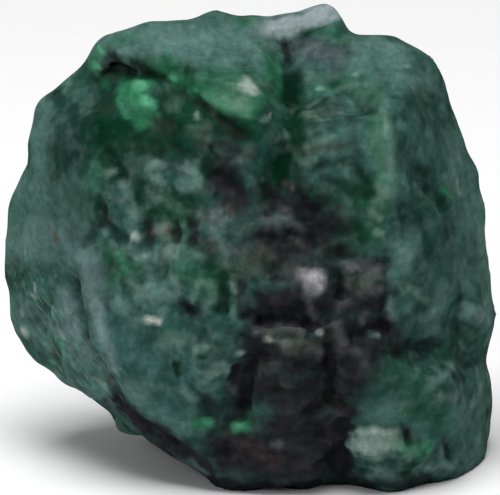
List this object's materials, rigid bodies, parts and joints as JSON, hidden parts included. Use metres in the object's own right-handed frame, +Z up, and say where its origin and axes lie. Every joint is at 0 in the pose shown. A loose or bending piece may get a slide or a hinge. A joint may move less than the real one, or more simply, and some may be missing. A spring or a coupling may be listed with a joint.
{
  "type": "rough emerald",
  "caption": "Uncut block of cloudy green beryl with a tilted cap slab, broken faces, furrows and dark mica, standing on a flat break.",
  "frame": {"origin": "middle of the stone's box, on the plane that it rests on", "axes": "+X to the right across the pictured side, +Y away from the viewer, +Z up"},
  "size_m": [0.0398, 0.029, 0.0347],
  "materials": {
    "beryl": "frosted, slightly glassy"
  },
  "bodies": {
    "root": {"emerald": "beryl"}
  },
  "joints": []
}
